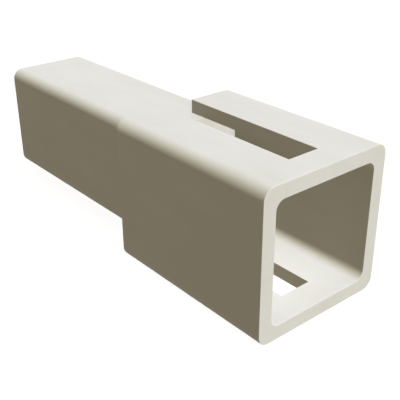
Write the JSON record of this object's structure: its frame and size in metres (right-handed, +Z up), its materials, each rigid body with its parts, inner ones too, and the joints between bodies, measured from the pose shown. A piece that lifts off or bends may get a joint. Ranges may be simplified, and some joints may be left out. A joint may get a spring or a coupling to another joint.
{
  "type": "terminal housing",
  "caption": "One-piece nylon terminal housing: a square mating shroud with a latch slot above and below, and a narrower tail that the crimped wire enters.",
  "frame": {"origin": "on the resting plane, under the middle of the housing's length and width", "axes": "+Z up; +Y along the housing from the mating end to the wire end, so the shroud opens towards -Y; +X across"},
  "size_m": [0.0104, 0.0322, 0.0105],
  "materials": {
    "nylon": "natural nylon as moulded, fine satin"
  },
  "bodies": {
    "root": {"housing": "nylon"}
  },
  "joints": []
}
